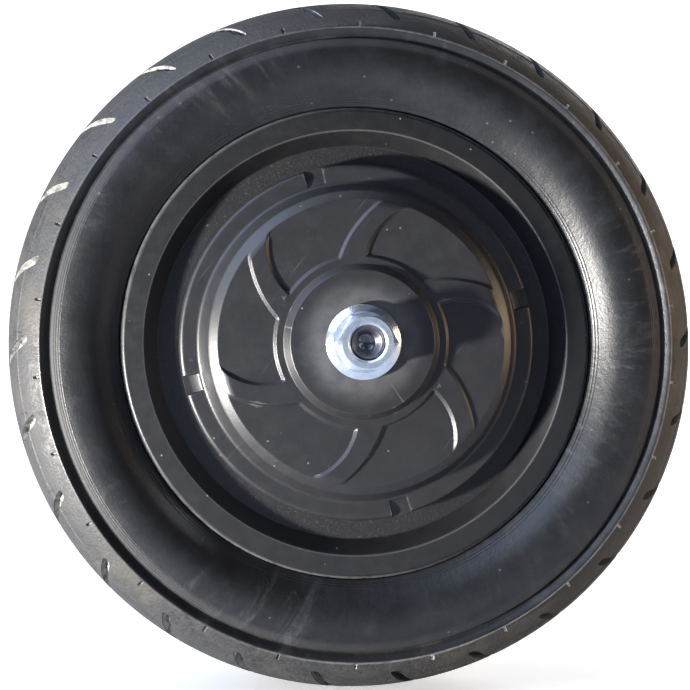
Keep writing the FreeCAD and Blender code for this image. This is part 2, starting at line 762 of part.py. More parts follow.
def slot_cutter(skin, side):
    """Lens shaped cutter at +Y; side is 1 for the +Z half of the tread, else -1."""
    shoulder_end_z = side * 21.5
    crown_end_z = side * 3.5
    lean = 11.75            # tangential shift of the crown end towards -X
    width = 3.0
    # lens edge from shoulder to crown: (fraction of length, fraction of width)
    lens_edge = [(0.0, 0.0), (0.04, 0.40), (0.12, 0.50), (0.40, 0.48), (0.70, 0.36),
                 (0.92, 0.22), (1.0, 0.0)]
    dz = crown_end_z - shoulder_end_z
    length = math.hypot(lean, dz)
    ux = -lean / length
    uz = dz / length
    points = []
    for t, s in lens_edge + mirrored(lens_edge[1:-1]):
        points.append(Vec(ux * length * t - uz * width * s, 100.0,
                          shoulder_end_z + uz * length * t + ux * width * s))
    outline = Part.makePolygon(points + points[:1])
    return Part.Face(outline).extrude(Vec(0, 32.0, 0)).common(skin)


def tyre():
    skin = tread_skin()
    plus_cutter = slot_cutter(skin, 1)
    minus_cutter = slot_cutter(skin, -1)
    pitch = 360.0 / tread_slots
    cutters = []
    for k in range(tread_slots):
        cutters.append(turn(plus_cutter, -(7.5 + pitch * k)))
        cutters.append(turn(minus_cutter, -(7.5 + pitch * (k + 0.5))))
    return tyre_casing().cut(Part.makeCompound(cutters))


def inner_tube():
    # +Z halves of the section, from the drop centre to the crown
    outside = [
        (67.6, 2.9, 2.0), (76.3, 8.7, 1.5), (80.4, 9.4, 2.0), (85.2, 13.3, 3.0),
        (90.7, 18.6, 4.0), (96.9, 21.8, 3.0), (101.6, 21.6, 4.0), (107.0, 18.3, 5.0),
        (112.8, 14.0, 6.0), (118.0, 7.6, 6.0), (121.0, 0.9, 3.0)]
    inside = [
        (69.2, 2.0, 1.5), (76.0, 6.6, 1.5), (79.9, 7.6, 2.0), (83.9, 10.9, 3.0),
        (90.0, 16.7, 3.0), (96.9, 20.1, 2.5), (101.0, 19.9, 3.0), (106.0, 17.1, 4.0),
        (111.6, 12.9, 5.0), (116.6, 6.6, 5.0), (119.2, 0.9, 2.0)]
    tube = lathe(outside + mirrored(outside)).cut(lathe(inside + mirrored(inside)))
    # room for the valve stem and its foot
    tube = tube.cut(valve_rod(-10.0, 8.0, 3.87))
    return tube.cut(valve_rod(-3.7, -2.3, 5.6))


# --------------------------------------------------------------------- export
# pieces whose file name is the name of their function
single_pieces = [
    wheel_rim, flux_ring, rotor_magnets, side_cover, cover_o_ring, axle_shaft,
    axle_seal_cover_side, axle_seal_cable_side, cover_side_spacer, cable_side_washer,
    cable_side_spring_washer, stator_core, stator_carrier, carrier_key, carrier_circlip,
    hall_sensor_board, hall_sensors, phase_leads, hall_leads, motor_cable, cable_grommet,
    plug_boot, plug_body, plug_collar, plug_pins, tyre, inner_tube, valve_stem,
    valve_core, valve_cap]
parts = {piece.__name__: piece() for piece in single_pieces}
parts.update(bearing("cover_side", brg_cover_z + brg_w / 2))
parts.update(bearing("cable_side", brg_cable_z - brg_w / 2))
parts["cover_side_axle_nut"] = hex_nut(cover_nut_z, 12.0, 13.0, 2.3)
parts["cable_side_axle_nut"] = hex_nut(spring_end_z, -10.0)
parts["winding_insulator_cover_side"] = winding_insulator(
    stack_half, insulator_z, insulator_z, fence_z)
parts["winding_insulator_cable_side"] = winding_insulator(
    -insulator_z, -stack_half, -fence_z, -insulator_z)
for index, letter in enumerate("abc"):
    parts["phase_%s_coils" % letter] = phase_coils(index)

os.makedirs("parts", exist_ok=True)
for name, part in parts.items():
    shape = part.copy()
    shape.rotate(ORIGIN, Vec(1, 0, 0), 90)
    if len(shape.Solids) == 1:
        shape = shape.Solids[0]
    shape.exportStep("parts/" + name + ".step")
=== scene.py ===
"""Hub motor wheel with its tyre, standing on a pale studio floor.

Row frame (Blender, metres): the spin axis is y, z is up and the screwed-on cover
faces -y, towards the camera.
Working frame of the mesh code (millimetres): the spin axis is z with +z towards the
cover, y is up, and clock angles run clockwise from up as seen from the cover.
"""
import bpy
import json
import math
import numpy as np
from mathutils import Matrix, Vector


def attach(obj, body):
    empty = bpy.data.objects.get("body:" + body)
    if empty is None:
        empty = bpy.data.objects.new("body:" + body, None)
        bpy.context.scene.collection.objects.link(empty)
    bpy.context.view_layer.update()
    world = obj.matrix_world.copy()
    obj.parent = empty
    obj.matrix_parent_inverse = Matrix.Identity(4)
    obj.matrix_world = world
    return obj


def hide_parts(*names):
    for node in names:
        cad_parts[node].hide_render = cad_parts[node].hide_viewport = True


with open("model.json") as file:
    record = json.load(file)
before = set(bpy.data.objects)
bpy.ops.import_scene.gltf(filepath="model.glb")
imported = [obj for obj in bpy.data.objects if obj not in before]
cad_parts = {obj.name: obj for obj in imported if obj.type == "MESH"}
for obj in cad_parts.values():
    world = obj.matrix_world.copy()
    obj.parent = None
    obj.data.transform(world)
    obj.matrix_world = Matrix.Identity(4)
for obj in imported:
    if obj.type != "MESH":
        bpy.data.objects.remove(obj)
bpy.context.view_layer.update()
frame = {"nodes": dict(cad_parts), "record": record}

from types import SimpleNamespace

MM = 0.001

# ---------------------------------------------------------------------------
# Driving sizes, in mm and degrees

SECTOR = 60.0                               # one spoke and one panel of the cover
SPOKE_INNER, SPOKE_OUTER = 30.2, 51.6       # radii between which the spoke edges curve
PANEL_Z, SPOKE_Z = 34.0, 35.1               # heights of the cover's panels and spokes
COVER_RADIUS = 63.9
NOTCH_START, NOTCH_PITCH = 75.6, 90.0       # clock angles of the cover's rim notches
NOTCH_RADIUS = 60.7                         # where the notch width is measured

TYRE_RADIUS = 127.5
SHOULDER_RADIUS, SHOULDER_Z = 113.3, 24.8   # where the tread arc ends
ARC_CENTRE = ((TYRE_RADIUS ** 2 - SHOULDER_RADIUS ** 2 - SHOULDER_Z ** 2)
              / (2 * (TYRE_RADIUS - SHOULDER_RADIUS)))
ARC_RADIUS = TYRE_RADIUS - ARC_CENTRE
SLOTS = 26                                  # slots in each half of the tread
SLOT_START = 7.5                            # clock angle of the first slot
SLOT_PITCH = 360.0 / SLOTS
PATTERN_RADIUS = 124.0                      # where distances along the tread are measured

FLOOR = -TYRE_RADIUS * MM


# ---------------------------------------------------------------------------
# Mesh helpers


def row_axes(p):
    """Working frame directions to row frame directions."""
    p = np.asarray(p, float)
    return np.stack([p[..., 0], -p[..., 2], p[..., 1]], -1)


def polar(r, clock, z):
    """Arrays of radius, clock angle and height to points of the working frame."""
    a = np.radians(clock)
    r, a, z = np.broadcast_arrays(np.asarray(r, float), a, np.asarray(z, float))
    return np.stack([r * np.sin(a), r * np.cos(a), z], -1)


def smooth(mesh, sharp):
    """Smooth shading, broken at edges steeper than sharp degrees."""
    mesh.shade_smooth()
    mesh.set_sharp_from_angle(angle=math.radians(sharp))


def add_object(name, data):
    ob = bpy.data.objects.new(name, data)
    bpy.context.scene.collection.objects.link(ob)
    return ob


def torus_faces(rows, columns):
    """Quads of a grid that closes on itself both ways."""
    i, j = np.meshgrid(np.arange(rows), np.arange(columns), indexing="ij")
    i2, j2 = (i + 1) % rows, (j + 1) % columns
    corners = [i * columns + j, i * columns + j2, i2 * columns + j2, i2 * columns + j]
    return np.stack(corners, -1).reshape(-1, 4)


def signed_volume(verts, faces):
    """Positive when the faces look outwards."""
    a, b, c, d = (verts[faces[:, i]] for i in range(4))
    return float((np.cross(b - a, c - a) * a).sum() + (np.cross(c - a, d - a) * a).sum())


def ring_object(name, grid, sharp):
    """Closed ring from rows x columns x 3 points in the working frame."""
    verts = row_axes(grid.reshape(-1, 3)) * MM
    faces = torus_faces(*grid.shape[:2])
    if signed_volume(verts, faces) < 0:
        faces = faces[:, ::-1]
    count = len(faces)
    mesh = bpy.data.meshes.new(name)
    mesh.vertices.add(len(verts))
    mesh.vertices.foreach_set("co", verts.astype(np.float32).ravel())
    mesh.loops.add(count * 4)
    mesh.loops.foreach_set("vertex_index", faces.astype(np.int32).ravel())
    mesh.polygons.add(count)
    mesh.polygons.foreach_set("loop_start", np.arange(0, count * 4, 4, dtype=np.int32))
    mesh.update(calc_edges=True)
    mesh.validate()
    ob = add_object(name, mesh)
    smooth(mesh, sharp)
    normals = ob.modifiers.new("wn", "WEIGHTED_NORMAL")
    normals.keep_sharp = True
    normals.weight = 60
    return ob


def round_corners(points, step=12.0):
    """(r, z[, corner radius]) points to (r, z), corners cut in arcs of step degrees."""
    out = []
    for i, (r, z, *radius) in enumerate(points):
        if not radius:
            out.append((r, z))
            continue
        rad = radius[0]
        corner = np.array((r, z))
        before, after = np.array(points[i - 1][:2]), np.array(points[i + 1][:2])
        u = (before - corner) / np.linalg.norm(before - corner)
        w = (after - corner) / np.linalg.norm(after - corner)
        half = math.acos(float(u @ w)) / 2
        centre = corner + (u + w) / np.linalg.norm(u + w) * (rad / math.sin(half))
        reach = rad / math.tan(half)
        x1, y1 = corner + u * reach - centre
        x2, y2 = corner + w * reach - centre
        start = math.atan2(y1, x1)
        turn = (math.atan2(y2, x2) - start + math.pi) % (2 * math.pi) - math.pi
        count = max(2, int(math.ceil(abs(math.degrees(turn)) / step)))
        for j in range(count + 1):
            t = start + turn * j / count
            out.append((centre[0] + rad * math.cos(t), centre[1] + rad * math.sin(t)))
    return out


# ---------------------------------------------------------------------------
# Material builder


class Look:
    """A Principled material being built. Lengths in it are metres of the row frame."""

    def __init__(self, name):
        self.material = bpy.data.materials.new(name)
        self.material.use_nodes = True
        self.tree = self.material.node_tree
        self.tree.nodes.clear()
        self.output = self.node("ShaderNodeOutputMaterial")
        self.shader = self.node("ShaderNodeBsdfPrincipled")
        self.put(self.output.inputs["Surface"], self.shader.outputs[0])
        self.place = self.node("ShaderNodeTexCoord").outputs["Object"]

    def put(self, socket, value):
        """Link a socket, or set a plain value."""
        if isinstance(value, bpy.types.NodeSocket):
            self.tree.links.new(value, socket)
        elif isinstance(value, tuple) and socket.type == "RGBA":
            socket.default_value = (*value, 1.0)
        else:
            socket.default_value = value

    def node(self, kind, inputs={}, **settings):
        node = self.tree.nodes.new(kind)
        for key, value in settings.items():
            setattr(node, key, value)
        for key, value in inputs.items():
            self.put(node.inputs[key], value)
        return node

    def calc(self, operation, a, b=0.0):
        return self.node("ShaderNodeMath", {0: a, 1: b}, operation=operation).outputs[0]

    def times(self, first, *others):
        for other in others:
            first = self.calc("MULTIPLY", first, other)
        return first

    def plus(self, a, b):
        return self.calc("ADD", a, b)

    def minus(self, a, b):
        return self.calc("SUBTRACT", a, b)

    def noise(self, scale, detail=3.0, rough=0.5, distort=0.0, vector=None):
        return self.node("ShaderNodeTexNoise", {
            "Vector": vector or self.place, "Scale": scale, "Detail": detail,
            "Roughness": rough, "Distortion": distort}).outputs["Fac"]

    def cells(self, scale, vector=None):
        inputs = {"Vector": vector or self.place, "Scale": scale}
        return self.node("ShaderNodeTexVoronoi", inputs)

    def marks(self, cells, channel, pick, fade):
        """Mask of the cells whose random channel passes pick, fading from the middle."""
        chance = self.node("ShaderNodeSeparateColor", {0: cells.outputs["Color"]})
        return self.times(self.ramp(chance.outputs[channel], *pick),
                          self.ramp(cells.outputs["Distance"], *fade))

    def specks(self, scale, size, share):
        """Small round marks in a share of the cells."""
        return self.marks(self.cells(scale), channel=0,
                          pick=(1.0 - share, 1.0 - share * 0.8), fade=(size, size * 0.35))

    def ramp(self, value, lo, hi, start=0.0, end=1.0, curve="SMOOTHSTEP"):
        """start at lo, end at hi, clamped outside."""
        return self.node("ShaderNodeMapRange", {
            "Value": value, "From Min": lo, "From Max": hi, "To Min": start, "To Max": end},
            interpolation_type=curve, clamp=True).outputs["Result"]

    def band(self, value, lo, hi, soft):
        """1 inside lo..hi, falling to 0 over soft on both sides."""
        return self.times(self.ramp(value, lo - soft, lo + soft),
                          self.ramp(value, hi + soft, hi - soft))

    def mix(self, share, below, above):
        """Colours."""
        return self.node("ShaderNodeMix", {0: share, 6: below, 7: above},
                         data_type="RGBA").outputs[2]

    def mix_value(self, share, below, above):
        return self.node("ShaderNodeMix", {0: share, 2: below, 3: above},
                         data_type="FLOAT").outputs[0]

    def layer(self, color, mask, share, tint):
        """Lay a tint over a colour, at a share of the mask."""
        return self.mix(self.times(mask, share), color, tint)

    def axes(self):
        return self.node("ShaderNodeSeparateXYZ", {0: self.place}).outputs

    def radius(self, x, z):
        """Distance from the spin axis."""
        return self.calc("SQRT", self.plus(self.times(x, x), self.times(z, z)))

    def vector(self, x, y, z):
        return self.node("ShaderNodeCombineXYZ", {0: x, 1: y, 2: z}).outputs[0]

    def bump(self, height, depth, strength, under=None):
        inputs = {"Height": height, "Distance": depth, "Strength": strength}
        if under is not None:
            inputs["Normal"] = under
        return self.node("ShaderNodeBump", inputs).outputs[0]

    def finish(self, color, rough, normal, metallic=0.0, specular=0.5):
        values = {"Base Color": color, "Roughness": rough, "Normal": normal,
                  "Metallic": metallic, "Specular IOR Level": specular}
        for key, value in values.items():
            self.put(self.shader.inputs[key], value)
        return self.material


# ---------------------------------------------------------------------------
# Black paint


def paint_scratches(look):
    """Mask of a few long scratches: stretched cells, turned about the spin axis."""
    turned = look.node("ShaderNodeVectorRotate", {"Vector": look.place, "Angle": 0.9},
                       rotation_type="Y_AXIS").outputs[0]
    stretched = look.node("ShaderNodeVectorMath", {0: turned, 1: (35.0, 35.0, 900.0)},
                          operation="MULTIPLY").outputs[0]
    return look.marks(look.cells(scale=1.0, vector=stretched), channel=1,
                      pick=(0.955, 0.965), fade=(0.30, 0.12))


def cast_details(look, mid, color, rough, normal):
    """Gritty floor of the rim's ring recess, and the edges beside it painted lighter as rubbed
    paint and painted highlight.
    """
    x, y, z = look.axes()
    r = look.radius(x, z)
    height = look.calc("ABSOLUTE", y)
    floor = look.times(look.band(r, lo=0.0642, hi=0.0712, soft=0.0004),
                       look.ramp(height, lo=0.0170, hi=0.0163))
    grains = look.times(look.cells(scale=1300.0).outputs["Distance"], 0.5)
    grit = look.plus(look.noise(scale=900.0, detail=4.0, rough=0.65), grains)
    normal = look.bump(look.times(grit, floor), depth=0.00016, strength=0.5, under=normal)
    color = look.layer(color, floor, share=look.ramp(grit, lo=0.8, hi=1.25),
                       tint=(0.050, 0.050, 0.052))
    rough = look.mix_value(floor, rough, above=0.50)
    # lip of the flange, painted lighter as rubbed paint and painted edge highlight
    lip_wear_and_highlight = look.times(look.band(r, lo=0.0838, hi=0.0850, soft=0.00025),
                     look.ramp(mid, lo=0.30, hi=0.55, start=0.3))
    color = look.layer(color, lip_wear_and_highlight, share=0.5, tint=(0.12, 0.12, 0.122))
    # thin ring nearer the axis, painted lighter as wear and painted edge highlight
    ring_wear_and_highlight = look.times(look.band(r, lo=0.0760, hi=0.0766, soft=0.0002),
                      look.ramp(height, lo=0.0210, hi=0.0215))
    color = look.layer(color, ring_wear_and_highlight, share=0.3, tint=(0.11, 0.11, 0.112))
    return color, rough, normal


def black_paint(name, tone, cast):
    """Satin black: orange peel, an uneven film of dust, flecks, scratches and lighter convex
    edges, partly painted highlight.
    """
    look = Look(name)
    broad = look.noise(scale=24.0, detail=3.0, rough=0.55)
    mid = look.noise(scale=190.0, detail=5.0, rough=0.68)
    fine = look.noise(scale=1900.0, detail=2.0, rough=0.5)
    dark, light = (0.0125, 0.0125, 0.0140), (0.0165, 0.0165, 0.0180)
    color = look.mix(look.ramp(mid, lo=0.3, hi=0.75),
                     tuple(tone * v for v in dark), tuple(tone * v for v in light))
    film = look.times(look.ramp(broad, lo=0.40, hi=0.70), look.ramp(mid, lo=0.40, hi=0.66))
    color = look.layer(color, film, share=0.03, tint=(0.085, 0.083, 0.080))
    rough = look.ramp(mid, lo=0.25, hi=0.8, start=0.395, end=0.435)
    rough = look.plus(rough, look.times(film, 0.02))
    fleck = look.specks(scale=430.0, size=0.20, share=0.035)
    color = look.layer(color, fleck, share=0.55, tint=(0.26, 0.25, 0.23))
    # convex edges are painted lighter, as rubbed paint and as painted edge highlight; on the
    # cast rim this is switched off by the 0
    convex = look.node("ShaderNodeNewGeometry").outputs["Pointiness"]
    patches = 0.0 if cast else look.ramp(mid, lo=0.32, hi=0.6, start=0.6)
    worn_and_edge_highlight = look.times(look.ramp(convex, lo=0.535, hi=0.585), patches)
    color = look.layer(color, worn_and_edge_highlight, share=0.55, tint=(0.115, 0.115, 0.118))
    color = look.layer(color, paint_scratches(look), share=0.22, tint=(0.15, 0.15, 0.15))
    normal = look.bump(look.times(fine, 0.40), depth=0.00020, strength=0.5)
    if cast:
        color, rough, normal = cast_details(look, mid, color, rough, normal)
    return look.finish(color, rough, normal)


# ---------------------------------------------------------------------------
# Tyre rubber


def tyre_fields(look):
    """Places, noises and masks that the layers of the tyre share."""
    x, y, z = look.axes()
    f = SimpleNamespace(x=x, y=y, z=z, r=look.radius(x, z))
    f.clock = look.calc("ARCTAN2", x, z)
    f.height = look.calc("ABSOLUTE", y)
    f.broad = look.noise(scale=15.0, detail=4.0, rough=0.6)
    f.mid = look.noise(scale=95.0, detail=5.0, rough=0.68)
    f.small = look.noise(scale=360.0, detail=4.0, rough=0.7)
    f.fine = look.noise(scale=1100.0, detail=3.0, rough=0.6)
    f.wall = look.times(look.ramp(f.height, lo=0.0155, hi=0.0200),
                        look.ramp(f.r, lo=0.1145, hi=0.1132))
    f.tread = look.ramp(f.r, lo=0.1131, hi=0.1138)
    return f


def wall_smears(look, f):
    """Mask of smudges drawn out along the radius of the wall."""
    unit = look.node("ShaderNodeVectorMath", {0: look.vector(f.x, 0.0, f.z)},
                     operation="NORMALIZE").outputs[0]
    along = look.vector(look.times(f.r, 0.35), look.times(f.y, 0.4), 0.0)
    drawn = look.node("ShaderNodeVectorMath", {0: unit, 1: (0.1, 0.1, 0.1), 2: along},
                      operation="MULTIPLY_ADD").outputs[0]
    streak = look.noise(scale=210.0, detail=5.0, rough=0.66, distort=0.6, vector=drawn)
    return look.times(look.ramp(streak, lo=0.48, hi=0.74), look.ramp(f.broad, lo=0.40, hi=0.62),
                      f.wall, look.ramp(f.small, lo=0.30, hi=0.62, start=0.25))


def tread_dust_and_bounce_light(look, f, color):
    """Grey dust on the tread, going brown and brighter towards +x as painted warm bounce light;
    returns its mask too.
    """
    # the brown, brighter tint towards +x is painted warm bounce light on the side the key leaves
    # in shade
    across = look.minus(f.x, look.times(look.calc("ABSOLUTE", f.z), 0.45))
    tint = look.mix(look.ramp(across, lo=-0.065, hi=0.060),
                    below=(0.023, 0.023, 0.023), above=(0.054, 0.042, 0.026))
    # weights of the three noises in the grain
    grain = look.plus(look.times(f.mid, 0.55), look.times(f.small, 0.55))
    grain = look.plus(look.times(grain, 0.6), look.times(f.fine, 0.42))
    dust = look.times(f.tread, look.ramp(grain, lo=0.38, hi=0.70, start=0.25))
    color = look.mix(dust, color, tint)
    warm = look.ramp(look.noise(scale=42.0), lo=0.52, hi=0.70, end=0.18)
    return look.layer(color, f.tread, share=warm, tint=(0.10, 0.080, 0.055)), dust


def cut_dust_and_light(look, f, color):
    """Paler dust and painted light and shade inside the cuts, found by their depth below the
    tread arc.
    """
    from_centre = look.minus(f.r, round(ARC_CENTRE, 3) * MM)
    arc = look.calc("SQRT", look.plus(look.calc("POWER", from_centre, 2.0),
                                      look.calc("POWER", f.y, 2.0)))
    cut = look.times(look.ramp(arc, lo=round(ARC_RADIUS - 0.14, 3) * MM,
                               hi=round(ARC_RADIUS - 0.26, 3) * MM), f.tread)
    pale_dust_and_light = look.mix(look.ramp(f.small, lo=0.35, hi=0.62),
                    below=(0.055, 0.055, 0.053), above=(0.30, 0.30, 0.285))
    # cuts of the shoulder, brightest towards +x on the cover side: painted highlight on the cut
    # walls
    cut_highlight_side = look.times(look.ramp(f.x, lo=-0.02, hi=0.03), look.ramp(f.y, lo=0.0, hi=-0.005))
    color = look.layer(
        color, cut, share=look.ramp(f.height, lo=0.0222, hi=0.0228),
        tint=look.mix(cut_highlight_side, below=(0.10, 0.10, 0.098), above=(0.85, 0.80, 0.68)))
    # cuts of the tread: paler dust and painted light towards -x, painted shade towards +x
    return look.layer(
        color, cut, share=look.ramp(f.height, lo=0.0222, hi=0.0228, start=0.92, end=0.0),
        tint=look.mix(look.ramp(f.x, lo=-0.03, hi=0.01), pale_dust_and_light, above=(0.020, 0.020, 0.020)))


def shoulder_rub_and_highlight(look, f, color):
    """Rubbed edge between tread and wall with a painted highlight, strongest towards +x."""
    edge = look.times(look.band(f.r, lo=0.1128, hi=0.11375, soft=0.00015),
                      look.ramp(f.small, lo=0.3, hi=0.6, start=0.4))
    side = look.ramp(f.x, lo=-0.06, hi=0.05, start=0.10, end=0.50)
    return look.layer(color, edge, share=side, tint=(0.26, 0.255, 0.24))


def wall_marks(look, f, color):
    """Dust in the groove under the shoulder, specks and scuffs."""
    groove = look.times(look.band(f.r, lo=0.1094, hi=0.1104, soft=0.0003),
                        look.ramp(f.mid, lo=0.4, hi=0.7))
    color = look.layer(color, groove, share=0.25, tint=(0.06, 0.058, 0.053))
    speck = look.times(look.specks(scale=380.0, size=0.22, share=0.03), f.wall)
    color = look.layer(color, speck, share=0.22, tint=(0.22, 0.21, 0.20))
    rubs = look.noise(scale=240.0, detail=6.0, rough=0.72, distort=1.2)
    scuff = look.times(look.ramp(rubs, lo=0.66, hi=0.71), look.ramp(f.broad, lo=0.48, hi=0.62))
    return look.layer(color, scuff, share=0.30, tint=(0.12, 0.12, 0.12))


def tread_lines(look, f):
    """Mask of the thin line pressed beside each slot; the +y half is half a pitch on."""
    degrees_per_radian = 57.29578
    line_offset = 1.05      # degrees past the slot's start
    degrees = look.times(f.clock, degrees_per_radian)
    shift = look.times(look.ramp(f.y, lo=-0.0001, hi=0.0001, curve="LINEAR"),
                       round(SLOT_PITCH / 2, 4))
    phase = look.calc("FLOORED_MODULO", look.minus(look.minus(degrees, SLOT_START), shift),
                      round(SLOT_PITCH, 5))
    distance = look.calc("ABSOLUTE", look.minus(phase, line_offset))
    where = look.times(look.band(f.height, lo=0.0145, hi=0.0190, soft=0.0002), f.tread)
    return look.times(look.ramp(distance, lo=0.13, hi=0.07), where)


def tyre_normal(look, f, lines):
    """Grain, stronger on the tread, then moulding rings and pressed lines."""
    grain = look.plus(look.times(f.fine, 0.40), look.times(f.small, 0.7))
    gain = look.plus(1.0, look.times(f.tread, 1.6))
    rings = look.calc("SINE", look.times(f.r, 7400.0))     # radians per metre of radius
    ringed = look.plus(look.band(f.r, lo=0.1055, hi=0.1085, soft=0.0008),
                       look.band(f.r, lo=0.0862, hi=0.0880, soft=0.0004))
    ringed = look.times(ringed, f.wall)
    normal = look.bump(look.times(grain, gain), depth=0.00026, strength=0.55)
    normal = look.bump(look.times(rings, ringed), depth=0.00005, strength=0.5, under=normal)
    return look.bump(look.minus(1.0, lines), depth=0.0006, strength=0.8, under=normal)


def tyre_rubber(name):
    """Black rubber with smudged walls, a dusty tread with painted light and shade, and moulding
    lines.
    """
    look = Look(name)
    f = tyre_fields(look)
    color = look.mix(look.ramp(f.mid, lo=0.3, hi=0.75),
                     below=(0.0045, 0.0047, 0.0056), above=(0.0085, 0.0088, 0.0102))
    smear = wall_smears(look, f)
    color = look.layer(color, smear, share=0.34, tint=(0.080, 0.081, 0.085))
    color, dust = tread_dust_and_bounce_light(look, f, color)
    color = shoulder_rub_and_highlight(look, f, color)
    color = cut_dust_and_light(look, f, color)
    color = wall_marks(look, f, color)
    lines = tread_lines(look, f)
    # the pressed lines are painted dark: painted shade in the narrow cuts
    color = look.layer(color, lines, share=0.75, tint=(0.012, 0.012, 0.012))
    rough = look.ramp(f.mid, lo=0.25, hi=0.8, start=0.36, end=0.42)
    rough = look.plus(rough, look.times(smear, 0.08))
    rough = look.mix_value(dust, rough, above=0.80)
    dull = look.times(look.band(f.r, lo=0.1062, hi=0.1096, soft=0.0012), f.wall)
    rough = look.mix_value(dull, rough, above=0.66)
    return look.finish(color, rough, tyre_normal(look, f, lines), specular=0.55)


# ---------------------------------------------------------------------------
# Metals, plastics and wire


def metal(name, base, rough, tint=None, stain=None, turned=0.0, thread=0.0, metallic=1.0):
    """rough is a range; turned and thread are the strengths of those bumps."""
    look = Look(name)
    color = base
    if tint:
        cloud = look.noise(scale=210.0, detail=3.0, rough=0.6, distort=0.8)
        color = look.mix(look.ramp(cloud, lo=0.35, hi=0.68), base, tint)
    if stain:
        cloud = look.noise(scale=330.0, detail=5.0, rough=0.7, distort=0.5)
        color = look.mix(look.ramp(cloud, lo=0.60, hi=0.74, end=0.6), color, stain)
    gloss = look.ramp(look.noise(scale=120.0, detail=4.0, rough=0.6),
                      lo=0.3, hi=0.75, start=rough[0], end=rough[1])
    normal = look.bump(look.noise(scale=700.0, detail=3.0, rough=0.6),
                       depth=0.00008, strength=0.35)
    if turned or thread:
        x, y, z = look.axes()
        r = look.radius(x, z)
    if turned:
        # noise over radius and axial place only, both at full scale
        section = look.vector(look.times(r, 1.0), look.times(y, 1.0), 0.0)
        lines = look.noise(scale=3800.0, detail=2.0, rough=0.5, vector=section)
        normal = look.bump(lines, depth=0.00006, strength=turned, under=normal)
        gloss = look.plus(gloss, look.ramp(lines, lo=0.35, hi=0.7, start=-0.04, end=0.06))
    if thread:
        pitch = 0.00125
        turn = look.plus(look.times(y, 2.0 * math.pi / pitch), look.calc("ARCTAN2", x, z))
        where = look.times(look.ramp(r, lo=0.0052, hi=0.0056),
                           look.ramp(look.calc("ABSOLUTE", y), lo=0.0405, hi=0.0410))
        helix = look.times(look.calc("SINE", turn), 0.5, where)
        normal = look.bump(helix, depth=0.0006, strength=thread, under=normal)
    return look.finish(color, gloss, normal, metallic=metallic)


def plastic(name, base, other, rough=(0.4, 0.55), grain=0.3, fleck=None):
    """Two close colours in clouds, a fine grain and, if asked, pale flecks."""
    look = Look(name)
    cloud = look.noise(scale=140.0, detail=4.0, rough=0.6)
    color = look.mix(look.ramp(cloud, lo=0.3, hi=0.72), base, other)
    if fleck:
        spots = look.ramp(look.cells(scale=600.0).outputs["Distance"], lo=0.10, hi=0.05)
        color = look.layer(color, spots, share=0.5, tint=fleck)
    gloss = look.ramp(cloud, lo=0.3, hi=0.75, start=rough[0], end=rough[1])
    normal = look.bump(look.noise(scale=900.0, detail=3.0, rough=0.6),
                       depth=0.00015, strength=grain)
    return look.finish(color, gloss, normal)


def windings(name, base, dark):
    """Enamelled wire: fine strands across each coil."""
    look = Look(name)
    strands = look.node("ShaderNodeTexWave", {
        "Vector": look.place, "Scale": 1100.0, "Distortion": 0.6},
        wave_type="RINGS", rings_direction="SPHERICAL").outputs["Fac"]
    look.put(look.shader.inputs["Coat Weight"], 0.3)
    look.put(look.shader.inputs["Coat Roughness"], 0.15)
    return look.finish(look.mix(strands, dark, base),
                       look.ramp(strands, lo=0.0, hi=1.0, start=0.42, end=0.26),
                       look.bump(strands, depth=0.0003, strength=0.9), metallic=0.75)


